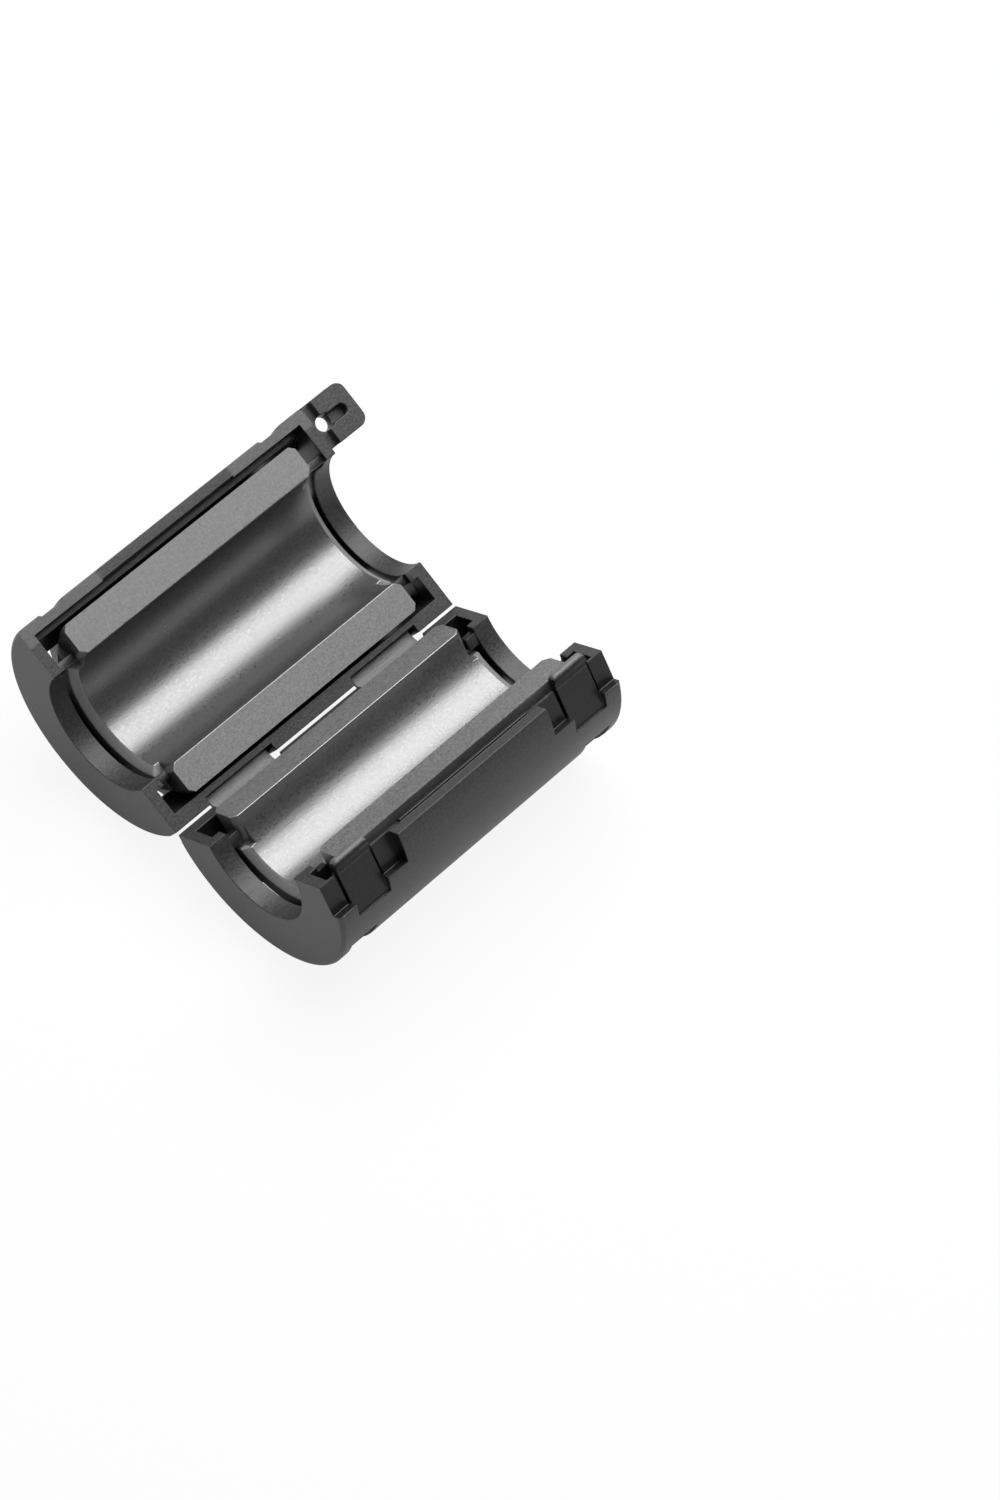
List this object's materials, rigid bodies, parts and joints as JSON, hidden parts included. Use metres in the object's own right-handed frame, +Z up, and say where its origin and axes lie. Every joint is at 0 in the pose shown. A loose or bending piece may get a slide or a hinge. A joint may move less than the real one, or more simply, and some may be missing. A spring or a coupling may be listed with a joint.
{
  "type": "clip-on ferrite bead",
  "caption": "Hinged round plastic case, lying open, with half-ring ferrite cores; it snaps shut round a cable to damp radio noise.",
  "frame": {"origin": "on the floor, at the middle of the box round the open clip, straight below the hinge axis", "axes": "+X along the cable towards the ear, +Y from the hook half to the ear half, +Z up"},
  "size_m": [0.036, 0.0386, 0.0165],
  "materials": {
    "case_plastic": "fine grained black",
    "ferrite": "ground flats, satin bore",
    "strap_plastic": "smooth film"
  },
  "bodies": {
    "ear_half": {"ear_half_shell": "case_plastic", "ear_tab": "case_plastic", "plain_end_strap": "strap_plastic", "ear_end_strap": "strap_plastic"},
    "ear_core": {"ear_half_core": "ferrite"},
    "hook_half": {"hook_half_shell": "case_plastic"},
    "hook_core": {"hook_half_core": "ferrite"}
  },
  "joints": [
    {"name": "case_hinge", "type": "hinge", "parent": "ear_half", "child": "hook_half", "pos_m": [0, 0, 0.00515], "axis": [1, 0, 0], "range_deg": [-118, 52], "deforming": ["plain_end_strap", "ear_end_strap"]},
    {"name": "ear_core_float", "type": "slide", "parent": "ear_half", "child": "ear_core", "axis": [0, -0.515, 0.8572], "range_m": [-0.00067, 0.000295]},
    {"name": "hook_core_float", "type": "slide", "parent": "hook_half", "child": "hook_core", "axis": [0, 0.515, 0.8572], "range_m": [-0.00068, 0.0003]}
  ],
  "couplings": [
    {"joint": "case_hinge", "follows": "ear_core_float", "rad_per_m": 3073.8},
    {"joint": "hook_core_float", "follows": "ear_core_float", "ratio": 1}
  ]
}
